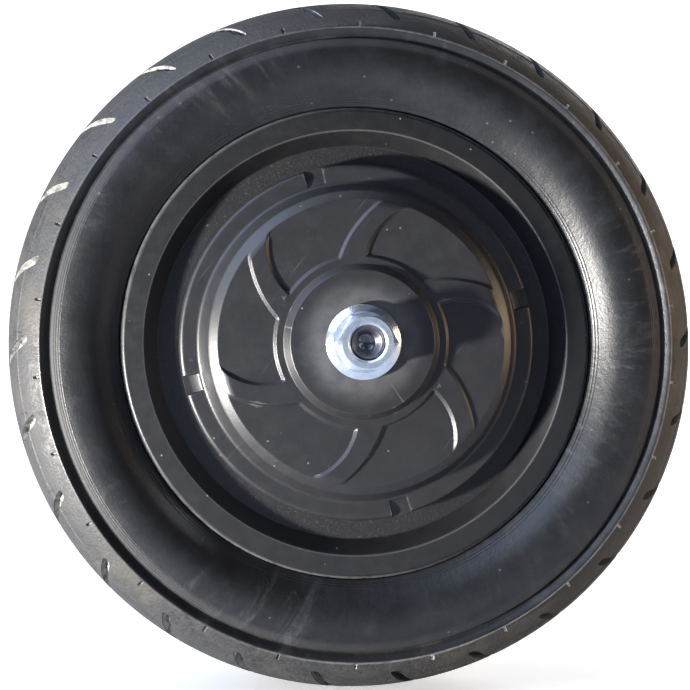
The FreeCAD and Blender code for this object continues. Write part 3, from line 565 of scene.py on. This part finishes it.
# material slot: (function, its arguments)
LOOKS = {
    "rim_paint": (black_paint, dict(tone=0.55, cast=True)),
    "cover_paint": (black_paint, dict(tone=1.0, cast=False)),
    "tyre_rubber": (tyre_rubber, {}),
    "tube_rubber": (plastic, dict(
        base=(0.018, 0.018, 0.019), other=(0.03, 0.03, 0.031), rough=(0.5, 0.65))),
    "seal_rubber": (plastic, dict(
        base=(0.015, 0.015, 0.016), other=(0.028, 0.028, 0.03), rough=(0.45, 0.6))),
    "zinc_steel": (metal, dict(
        base=(0.62, 0.72, 0.90), tint=(0.86, 0.90, 0.92), stain=(0.78, 0.66, 0.62),
        rough=(0.16, 0.30), turned=0.25, metallic=0.90)),
    # dark steel, darkened partly as painted shade for the axle end sunk in the nut's bore
    "axle_steel": (metal, dict(
        base=(0.20, 0.21, 0.24), tint=(0.30, 0.30, 0.32), stain=(0.12, 0.10, 0.09),
        rough=(0.28, 0.42), turned=0.5, thread=0.9)),
    "bearing_steel": (metal, dict(base=(0.74, 0.75, 0.78), rough=(0.10, 0.18), turned=0.4)),
    "shield_steel": (metal, dict(base=(0.56, 0.57, 0.60), rough=(0.25, 0.35), turned=0.3)),
    "flux_steel": (metal, dict(
        base=(0.34, 0.34, 0.36), tint=(0.42, 0.42, 0.43), stain=(0.20, 0.15, 0.12),
        rough=(0.3, 0.45), turned=0.2)),
    "magnet_nickel": (metal, dict(
        base=(0.62, 0.61, 0.58), tint=(0.70, 0.69, 0.66), rough=(0.16, 0.26))),
    "lamination_steel": (metal, dict(
        base=(0.26, 0.27, 0.30), tint=(0.33, 0.34, 0.36), rough=(0.35, 0.5), turned=0.9)),
    "carrier_alu": (metal, dict(
        base=(0.60, 0.61, 0.63), tint=(0.68, 0.69, 0.70), rough=(0.35, 0.5), turned=0.2)),
    "coil_a": (windings, dict(base=(0.62, 0.25, 0.10), dark=(0.20, 0.06, 0.02))),
    "coil_b": (windings, dict(base=(0.60, 0.23, 0.09), dark=(0.19, 0.055, 0.02))),
    "coil_c": (windings, dict(base=(0.64, 0.27, 0.11), dark=(0.21, 0.065, 0.022))),
    "insulator_plastic": (plastic, dict(
        base=(0.62, 0.58, 0.47), other=(0.70, 0.66, 0.55), rough=(0.45, 0.6))),
    "board_green": (plastic, dict(
        base=(0.02, 0.14, 0.06), other=(0.03, 0.19, 0.08), rough=(0.22, 0.35), grain=0.15)),
    "sensor_plastic": (plastic, dict(base=(0.02, 0.02, 0.02), other=(0.035, 0.035, 0.035))),
    "lead_sleeve": (plastic, dict(
        base=(0.42, 0.05, 0.03), other=(0.50, 0.08, 0.05), rough=(0.4, 0.5))),
    "cable_jacket": (plastic, dict(
        base=(0.018, 0.018, 0.019), other=(0.03, 0.03, 0.032), rough=(0.42, 0.55),
        grain=0.4, fleck=(0.12, 0.12, 0.12))),
    "plug_plastic": (plastic, dict(
        base=(0.022, 0.022, 0.024), other=(0.034, 0.034, 0.037), rough=(0.3, 0.42),
        grain=0.25)),
    "plug_brass": (metal, dict(base=(0.80, 0.62, 0.28), rough=(0.15, 0.25), turned=0.2)),
    "valve_brass": (metal, dict(
        base=(0.70, 0.54, 0.25), tint=(0.76, 0.62, 0.34), rough=(0.2, 0.32), turned=0.4)),
    "cap_plastic": (plastic, dict(
        base=(0.014, 0.014, 0.015), other=(0.026, 0.026, 0.027), rough=(0.35, 0.5))),
}
MATERIALS = {slot: make(slot + "_look", **options) for slot, (make, options) in LOOKS.items()}


def dress_cad_pieces():
    """Give every CAD piece the material of its slot."""
    slots = {s["node"]: s["material_slot"] for s in frame["record"]["subparts"]}
    for node_name, ob in frame["nodes"].items():
        material = MATERIALS[slots[node_name]]
        if not ob.material_slots:
            ob.data.materials.append(material)
        for slot in ob.material_slots:
            slot.material = material
        smooth(ob.data, sharp=28)


def add_piece(ob, body, slot, node):
    """Material, moving body and replaced CAD node of a detailed mesh."""
    ob.data.materials.append(MATERIALS[slot])
    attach(ob, body)
    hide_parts(node)


# ---------------------------------------------------------------------------
# Side cover: six curved spokes raised over flat panels, and four notches in the rim

# edges of one spoke: (radius, clock angle); leading is the smaller angle
LEADING_EDGE = [(30.2, 225.6), (31.5, 227.1), (36.0, 232.3), (40.5, 237.4), (45.5, 243.1),
                (50.0, 248.3), (51.6, 250.2)]
TRAILING_EDGE = [(30.2, 243.6), (31.0, 244.0), (36.0, 246.1), (41.0, 249.8), (46.0, 254.5),
                 (50.0, 260.0), (51.6, 262.4)]
# wall across a spoke edge: (distance from the edge, share of the spoke's height)
SPOKE_WALL = [(-0.58, 0.0), (-0.46, 0.05), (-0.32, 0.20), (0.0, 0.5), (0.32, 0.80),
              (0.46, 0.95), (0.58, 1.0)]
WALL_GAP = 0.828            # from an edge to the first column beyond its wall
NOTCH_COLUMNS = (2.95, 3.10, 3.28, 3.50)    # distances of columns from a notch's middle
NOTCH_REACH, NOTCH_WALL = 3.34, 0.20        # half width at the top, width of its side wall

# hub top: (radius, z[, corner radius]); the last point only aims the corner before it
HUB_TOP = [(12.01, 38.0), (25.0, 38.0, 0.55), (27.2, 35.1, 0.5), (28.4, 35.1)]
HUB_COLLAR = (27.9, 28.7, 29.3)             # radii at spoke height
# radius, share of spoke height kept by the panels
PANEL_START = [(29.55, 1.0), (29.68, 0.96), (29.82, 0.85), (30.2, 0.5), (30.58, 0.15),
               (30.72, 0.04), (30.85, 0.0)]
SPOKE_RADII = (31.4, 32.5, 34.0, 35.5, 37.0, 38.5, 40.0, 41.5, 43.0, 44.5, 46.0, 47.0, 47.6)
# radius, z of panels, z of spokes
SPOKE_FALL = [(48.0, 34.0, 35.05), (48.5, 34.0, 34.90), (49.2, 34.0, 34.62),
              (49.6, 34.0, 34.40), (49.90, 34.0, 34.16), (50.02, 33.98, 34.02)]
# radius, z of the slope down to the rim
COVER_SHOULDER = [
    (50.15, 33.93), (50.35, 33.82), (50.6, 33.66), (51.1, 33.32), (51.7, 32.90),
    (52.3, 32.48), (52.8, 32.12), (53.15, 31.84), (53.4, 31.56), (53.6, 31.22),
    (53.85, 30.66), (54.3, 29.52), (54.8, 28.22), (55.3, 26.92), (55.65, 26.00),
    (55.9, 25.42), (56.15, 24.96), (56.4, 24.60), (56.65, 24.34), (56.95, 24.12),
    (57.25, 23.98), (57.55, 23.92)]
# radius, z of the rim's top and rounded edge
COVER_RIM = [
    (57.80, 23.9), (58.3, 23.9), (59.5, 23.9), (61.0, 23.9), (61.9, 23.9), (62.25, 23.88),
    (62.55, 23.80), (62.85, 23.66), (63.12, 23.47), (63.36, 23.22), (63.56, 22.92),
    (63.72, 22.56), (63.83, 22.15)]
OUTER_WALL = (21.6, 21.3, 20.6, 18.0, 15.8)     # z down the outer wall
# radius, z back under the cover to the bore
COVER_UNDERSIDE = [
    (63.4, 15.8), (61.95, 15.8), (61.95, 14.2), (62.45, 14.1), (62.45, 8.4), (61.8, 7.7),
    (60.2, 7.7), (60.2, 15.2), (59.8, 15.75), (56.0, 18.7), (54.9, 19.9), (48.6, 28.4),
    (47.6, 29.4), (46.2, 29.8), (43.0, 29.8), (40.0, 29.8), (37.0, 29.8), (34.0, 29.8),
    (31.0, 29.8), (28.0, 29.8), (24.2, 29.8), (22.9, 29.3), (22.4, 28.3), (21.6, 24.2),
    (21.4, 24.0), (17.9, 24.0), (17.51, 24.3), (17.51, 35.0), (12.01, 35.0)]


def edge_curve(points, degree):
    """Clock angle of a spoke edge as a function of radius."""
    middle = 40
    fit = np.polyfit([r - middle for r, _ in points], [clock for _, clock in points], degree)
    return lambda r: float(np.polyval(fit, np.clip(r, SPOKE_INNER, SPOKE_OUTER) - middle))


lead_at = edge_curve(LEADING_EDGE, 3)
trail_at = edge_curve(TRAILING_EDGE, 4)


def cover_columns():
    """One sector's columns: (kind, place, height share, clock angle at the rim or None)."""
    start, end = lead_at(SPOKE_OUTER), trail_at(SPOKE_OUTER)
    notch_edges = set()
    for centre in (NOTCH_START, NOTCH_START + NOTCH_PITCH):
        for side in (-1, 1):
            for distance in NOTCH_COLUMNS:
                clock = centre + side * math.degrees(distance / NOTCH_RADIUS)
                notch_edges.add(round(start + (clock - start) % SECTOR, 4))

    def span(kind, lo, hi, count, share):
        """Even columns, giving way to the notch edges where they come close."""
        clocks = {round(a, 4) for a in np.linspace(lo, hi, count)}
        clocks |= {a for a in notch_edges if lo < a < hi}
        return [(kind, (a - lo) / (hi - lo), share, a) for a in sorted(clocks)
                if a in notch_edges or all(abs(e - a) >= 0.12 for e in notch_edges)]

    margin = 0.8            # degrees kept free beside an edge
    return ([("lead", offset, share, None) for offset, share in SPOKE_WALL]
            + span("spoke", start + margin, end - margin, 9, 1.0)
            + [("trail", -offset, share, None) for offset, share in reversed(SPOKE_WALL)]
            + span("panel", end + margin, start + SECTOR - margin, 30, 0.0))


def degrees_per_mm(edge, r):
    """Turn about the axis for 1 mm measured square to an edge."""
    slope = math.atan(r * math.radians(edge(r + 0.5) - edge(r - 0.5)))
    return math.degrees(1.0 / r) / max(0.35, math.cos(slope))


def column_angles(columns, r):
    """Clock angle of every column at a radius."""
    lead, trail = lead_at(r), trail_at(r)
    lead_mm, trail_mm = degrees_per_mm(lead_at, r), degrees_per_mm(trail_at, r)
    spoke_lo, spoke_hi = lead + WALL_GAP * lead_mm, trail - WALL_GAP * trail_mm
    panel_lo, panel_hi = trail + WALL_GAP * trail_mm, lead + SECTOR - WALL_GAP * lead_mm
    spans = {"lead": (lead, lead_mm), "trail": (trail, trail_mm),
             "spoke": (spoke_lo, spoke_hi - spoke_lo),
             "panel": (panel_lo, panel_hi - panel_lo)}
    return np.array([spans[kind][0] + place * spans[kind][1] for kind, place, _, _ in columns])


def cover_rows():
    """Rows round the section: (radius, z of panels, z of spokes, zone)."""
    def level(points, zone="face"):
        return [(r, z, z, zone) for r, z in points]

    rows = level(round_corners(HUB_TOP)[:-1])
    rows += level((r, SPOKE_Z) for r in HUB_COLLAR)
    rows += [(r, PANEL_Z + (SPOKE_Z - PANEL_Z) * share, SPOKE_Z, "face")
             for r, share in PANEL_START]
    rows += [(r, PANEL_Z, SPOKE_Z, "face") for r in SPOKE_RADII]
    rows += [(*row, "face") for row in SPOKE_FALL]
    rows += level(COVER_SHOULDER, "shoulder") + level(COVER_RIM, "rim")
    return rows + level((COVER_RADIUS, z) for z in OUTER_WALL) + level(COVER_UNDERSIDE)


def cut_notches(angles, heights, floor):
    """Lower the heights to the floor inside the notches."""
    turn = (angles - NOTCH_START + NOTCH_PITCH / 2) % NOTCH_PITCH - NOTCH_PITCH / 2
    distance = np.radians(np.abs(turn)) * NOTCH_RADIUS
    inside = np.clip((NOTCH_REACH - distance) / NOTCH_WALL, 0, 1)
    return heights * (1 - inside) + np.minimum(heights, floor) * inside


def side_cover():
    columns = cover_columns()
    share = np.array([column[2] for column in columns])
    # beyond the spokes the columns stand at constant angles, notch edges exact
    outer = column_angles(columns, SPOKE_OUTER)
    for i, (_, _, _, clock) in enumerate(columns):
        if clock is not None:
            outer[i] = clock
    # the notch floor steps down over the first three rim rows, then is nearly flat
    floors = {r: 23.5 - 0.35 * i if i < 3 else 22.35 - 0.004 * i
              for i, (r, _) in enumerate(COVER_RIM)}
    sectors = round(360 / SECTOR)
    grid = []
    for r, panel_z, spoke_z, zone in cover_rows():
        angles = outer
        if zone == "shoulder":
            t = min(1.0, max(0.0, (r - 50.4) / 3.0))
            angles = column_angles(columns, min(r, SPOKE_OUTER)) * (1 - t) + outer * t
        elif r < SPOKE_OUTER:
            angles = column_angles(columns, r)
        angles = np.concatenate([angles + SECTOR * k for k in range(sectors)])
        heights = np.tile(panel_z + (spoke_z - panel_z) * share, sectors)
        if zone == "rim":
            heights = cut_notches(angles, heights, floors[r])
        grid.append(polar(r, angles, heights))
    return ring_object("side_cover_visual", np.array(grid), sharp=40.0)


# ---------------------------------------------------------------------------
# Tyre: slots lean across each half of the tread, the -z half half a pitch on

SLOT_HALF = 1.25            # column that lies on the edge of a groove's floor
GROOVE_WALL = 0.6           # columns this far beyond it keep their spacing
# columns beside a groove's middle: (distance, share of the groove's depth)
GROOVE_COLUMNS = [(0.0, 1.0), (0.6, 1.0), (SLOT_HALF - 0.12, 1.0), (SLOT_HALF, 1.0),
                  (SLOT_HALF + 0.14, 0.93), (SLOT_HALF + 0.30, 0.10), (SLOT_HALF + 0.42, 0.0),
                  (2.2, 0.0), (3.0, 0.0), (4.0, 0.0), (5.6, 0.0)]
GROOVE_REACH = GROOVE_COLUMNS[-1][0]
SLOT_OUTER_Z, SLOT_LENGTH = 21.5, 18.0
SLOT_LEAN = 11.75           # shift round the tread over the slot's length
SLOT_DEPTH = 2.3
# share of the way from the slot's outer end to its inner end, half width
SLOT_WIDTHS = [(0.0, 0.5), (0.006, 0.85), (0.02, 1.2), (0.05, 1.42), (0.12, 1.5),
               (0.4, 1.42), (0.7, 1.08), (0.92, 0.68), (0.985, 0.5), (1.0, 0.3)]
# the same share, share of the depth
SLOT_DEPTHS = [(0.0, 0.0), (0.006, 0.8), (0.03, 1.0), (0.7, 1.0), (0.97, 0.8), (1.0, 0.0)]
PLAIN = (0.22, 0.0)         # half width and depth where there is no groove

TREAD_Z = [0, 0.9, 1.8, 2.6, 3.2, 3.45, 3.6, 3.8, 4.2, 4.8, 5.6, 6.6, 7.6, 8.6, 9.6, 10.6,
           11.6, 12.6, 13.5, 14.4, 15.3, 16.2, 16.7, 16.88, 17.0, 17.12, 17.3, 17.7, 18.4,
           19.1, 19.8, 20.3, 20.6, 20.9, 21.15, 21.35, 21.5, 21.6, 22.0, 22.5, 22.9, 23.04,
           23.2, 23.36, 23.7, 24.1, 24.5, 24.8]
TREAD_RIB = {16.88: 0.15, 17.0: 0.20, 17.12: 0.15}     # z: height of the thin rib
# section beyond the tread: (radius, z)
SHOULDER = [
    (113.38, 24.97), (113.40, 25.15), (113.34, 25.34), (113.18, 25.52), (112.95, 25.62),
    (112.7, 25.62), (112.35, 25.50), (111.9, 25.24), (111.3, 24.84), (110.7, 24.42),
    (110.2, 24.06), (109.95, 23.90), (109.78, 23.84), (109.62, 23.92), (109.5, 24.12),
    (109.38, 24.46), (109.24, 24.80), (109.08, 25.02)]
WALL = [
    (109.0, 25.30), (108.8, 25.56), (108.0, 25.90), (106.5, 26.36), (105.0, 26.70),
    (103.0, 27.00), (101.0, 27.10), (99.0, 27.00), (97.0, 26.66), (95.0, 26.04),
    (93.0, 25.12), (91.0, 23.90), (89.2, 22.62), (87.9, 21.68)]
BEAD = [
    (87.5, 21.42), (87.34, 21.34), (87.2, 21.22), (87.05, 21.06), (86.75, 20.94),
    (86.55, 20.82), (86.42, 20.70), (86.28, 20.58), (85.95, 20.38), (85.6, 20.18),
    (85.3, 20.00), (85.10, 19.75), (85.04, 19.2), (85.03, 18.12), (84.0, 18.06),
    (80.0, 17.93), (77.7, 17.84), (76.9, 17.5), (76.05, 16.4), (76.05, 13.0),
    (76.05, 10.6), (76.4, 10.38), (80.3, 10.2)]
INSIDE = [
    (80.5, 10.2), (85.5, 14.2), (91.0, 19.5), (97.0, 22.5), (102.0, 22.4), (107.5, 19.1),
    (113.5, 14.6), (118.8, 8.3), (121.9, 0.0)]


def spline(points, steps):
    """Catmull-Rom curve through the points."""
    p = [np.array(point, float) for point in points]
    p = [2 * p[0] - p[1]] + p + [2 * p[-1] - p[-2]]
    out = []
    for a, b, c, d in zip(p, p[1:], p[2:], p[3:]):
        for j in range(steps):
            t = j / steps
            out.append(0.5 * (2 * b + (c - a) * t + (2 * a - 5 * b + 4 * c - d) * t * t
                              + (3 * b - a - 3 * c + d) * t ** 3))
    return out + [p[-2]]


def tyre_section():
    """Closed section: (radius, z, normal r, normal z, whether it is tread)."""
    rows = []
    for z in TREAD_Z:
        r = ARC_CENTRE + math.sqrt(ARC_RADIUS ** 2 - z * z)
        normal_r, normal_z = (r - ARC_CENTRE) / ARC_RADIUS, z / ARC_RADIUS
        rib = TREAD_RIB.get(z, 0.0)
        rows.append((r + normal_r * rib, z + normal_z * rib, normal_r, normal_z, True))
    side = SHOULDER + spline(WALL, 4) + BEAD + spline(INSIDE, 2)[1:-1]
    rows += [(r, z, 0, 0, False) for r, z in side]
    middle = (*INSIDE[-1], 0, 0, False)
    mirrored = [(r, -z, nr, -nz, tread) for r, z, nr, nz, tread in reversed(rows[1:])]
    return rows + [middle] + mirrored


def groove(z, slot_side):
    """Half width and depth at z: slots on their own side, short cuts on the other."""
    height = abs(z)
    if slot_side and 3.45 < height < 21.55:
        t = (SLOT_OUTER_Z - height) / SLOT_LENGTH
        return (np.interp(t, *zip(*SLOT_WIDTHS)),
                SLOT_DEPTH * np.interp(t, *zip(*SLOT_DEPTHS)))
    if not slot_side and height > 23.05:
        return 0.24, min(1.0, (height - 23.05) / 0.3)
    if not slot_side and height >= 22.5:
        return 0.16, 0.0
    return PLAIN


def tyre():
    mirrored = [(-s, share) for s, share in reversed(GROOVE_COLUMNS[1:])]
    places, shares = np.array(mirrored + GROOVE_COLUMNS).T
    stops = (0, SLOT_HALF, SLOT_HALF + GROOVE_WALL, GROOVE_REACH)

    def squeezed(half):
        """Columns moved so that the floor's edge lies at half."""
        moved = np.interp(np.abs(places), stops, (0, half, half + GROOVE_WALL, GROOVE_REACH))
        return np.sign(places) * moved

    half_pitch = math.radians(SLOT_PITCH) * PATTERN_RADIUS / 2
    starts = SLOT_START + SLOT_PITCH * np.arange(SLOTS)
    grid = []
    for r, z, normal_r, normal_z, tread in tyre_section():
        # the first groove carries the slots of the +z half, the second those of -z
        (half_1, depth_1), (half_2, depth_2) = (
            (groove(z, z > 0), groove(z, z <= 0)) if tread else (PLAIN, PLAIN))
        offsets = np.concatenate([squeezed(half_1), [half_pitch / 2],
                                  half_pitch + squeezed(half_2), [half_pitch * 1.5]])
        depths = np.concatenate([shares * depth_1, [0.0], shares * depth_2, [0.0]])
        if tread:
            inner_z = SLOT_OUTER_Z - SLOT_LENGTH
            offsets += SLOT_LEAN * (np.clip((abs(z) - inner_z) / SLOT_LENGTH, 0, 1) - 1)
        angles = (starts[:, None] + np.degrees(offsets / PATTERN_RADIUS)).ravel()
        depths = np.tile(depths, SLOTS)
        grid.append(polar(r - normal_r * depths, angles, z - normal_z * depths))
    return ring_object("tyre_visual", np.array(grid), sharp=34.0)


# ---------------------------------------------------------------------------
# Studio, in metres of the row frame


def floor_look():
    """Pale sheet, lifted towards white for the camera only."""
    look = Look("studio_floor_look")
    color = look.mix(look.noise(scale=3.0), below=(0.80, 0.80, 0.81), above=(0.84, 0.84, 0.84))
    grain = look.bump(look.noise(scale=400.0), depth=0.0002, strength=0.15)
    look.finish(color, rough=0.7, normal=grain)
    seen = look.node("ShaderNodeLightPath").outputs["Is Camera Ray"]
    lift = look.node("ShaderNodeEmission", {
        "Color": (0.97, 0.97, 0.98), "Strength": look.times(seen, 0.55)})
    both = look.node("ShaderNodeAddShader", {0: look.shader.outputs[0], 1: lift.outputs[0]})
    look.put(look.output.inputs["Surface"], both.outputs[0])
    return look.material


def studio_floor():
    """Floor that curves up into a backdrop behind the wheel."""
    bend_start, bend_radius, half_width = 0.6, 1.2, 5.0
    profile = [(-4.0, 0.0), (-1.0, 0.0), (bend_start, 0.0)]
    for i in range(1, 13):
        a = math.radians(90 * i / 12)
        profile.append((bend_start + bend_radius * math.sin(a), bend_radius * (1 - math.cos(a))))
    profile.append((bend_start + bend_radius, 4.0))
    verts = [(x, y, FLOOR + z) for y, z in profile for x in (-half_width, half_width)]
    faces = [(2 * i, 2 * i + 1, 2 * i + 3, 2 * i + 2) for i in range(len(profile) - 1)]
    mesh = bpy.data.meshes.new("studio_floor")
    mesh.from_pydata(verts, [], faces)
    mesh.update()
    ob = add_object("studio_floor", mesh)
    smooth(mesh, sharp=60.0)
    mesh.materials.append(floor_look())
    return ob


# name, place, (width, height), watts, colour; all aim at the wheel's centre
LIGHTS = [
    ("key", (-1.14, -0.547, -0.306), (0.11, 0.10), 87.0, (1.0, 0.965, 0.91)),
    ("fill", (-1.0, -1.5, 1.5), (1.3, 1.3), 3.4, (0.56, 0.73, 1.0)),
    ("card", (0.05, -3.0, 0.45), (1.2, 1.2), 1.5, (0.66, 0.82, 1.0)),
    ("sky", (-1.0, -0.46, 1.0), (1.2, 1.2), 23.0, (0.50, 0.66, 1.0)),
    ("warm", (1.9, -0.30, 0.25), (0.7, 0.7), 15.0, (1.0, 0.74, 0.50)),
    ("top", (-0.2, 0.1, 1.9), (1.2, 1.2), 6.0, (1.0, 0.98, 0.95)),
    ("back", (1.0, 1.3, 1.0), (1.2, 1.2), 16.0, (1.0, 1.0, 1.0)),
]


def area_light(name, place, size, watts, color):
    light = bpy.data.lights.new(name, "AREA")
    light.energy = watts
    light.color = color
    light.shape = "RECTANGLE"
    light.size, light.size_y = size
    ob = add_object(name, light)
    ob.location = place
    ob.rotation_mode = "QUATERNION"
    ob.rotation_quaternion = (-Vector(place)).to_track_quat("-Z", "Y")
    return ob


def pass_through(light, ob):
    """Let a light shine through an object without a shadow."""
    passes = bpy.data.collections.new("key_passes")
    passes.objects.link(ob)
    light.light_linking.blocker_collection = passes
    for entry in passes.collection_objects:
        entry.light_linking.link_state = "EXCLUDE"


def set_world():
    """Faint blue light; the camera sees near white beyond the floor sheet."""
    world = bpy.data.worlds.new("studio")
    bpy.context.scene.world = world
    world.use_nodes = True
    nodes, links = world.node_tree.nodes, world.node_tree.links
    ambient = nodes["Background"]
    ambient.inputs["Color"].default_value = (0.62, 0.74, 1.0, 1.0)
    ambient.inputs["Strength"].default_value = 0.02
    seen = nodes.new("ShaderNodeBackground")
    seen.inputs["Color"].default_value = (0.93, 0.94, 0.96, 1.0)
    seen.inputs["Strength"].default_value = 1.0
    pick = nodes.new("ShaderNodeMixShader")
    links.new(nodes.new("ShaderNodeLightPath").outputs["Is Camera Ray"], pick.inputs[0])
    links.new(ambient.outputs[0], pick.inputs[1])
    links.new(seen.outputs[0], pick.inputs[2])
    links.new(pick.outputs[0], nodes["World Output"].inputs["Surface"])


def add_camera():
    data = bpy.data.cameras.new("camera")
    camera = add_object("camera", data)
    bpy.context.scene.camera = camera
    tilt, yaw = math.radians(-2.49), math.radians(-1.92)
    # the camera's right, up and backward directions in the working frame
    axes = [
        (math.cos(yaw), 0.0, -math.sin(yaw)),
        (-math.sin(yaw) * math.sin(tilt), math.cos(tilt), -math.cos(yaw) * math.sin(tilt)),
        (math.sin(yaw) * math.cos(tilt), math.sin(tilt), math.cos(yaw) * math.cos(tilt))]
    turn = Matrix([Vector(row_axes(axis)) for axis in axes]).transposed()
    camera.rotation_mode = "QUATERNION"
    camera.rotation_quaternion = turn.to_quaternion()
    camera.location = (-0.0547, -0.4381, 0.0069)
    data.sensor_width = 36.0
    data.lens = 60.6208696
    data.shift_x, data.shift_y = 0.147536232, -0.106521739
    data.clip_start, data.clip_end = 0.01, 50.0


# ---------------------------------------------------------------------------
# Build

dress_cad_pieces()
add_piece(side_cover(), "wheel", "cover_paint", "side_cover")
add_piece(tyre(), "wheel", "tyre_rubber", "tyre")

studio = studio_floor()
lights = {row[0]: area_light(*row) for row in LIGHTS}
# the key shines from below the floor's level
pass_through(lights["key"], studio)
set_world()
bpy.context.scene.view_settings.view_transform = "Standard"
add_camera()
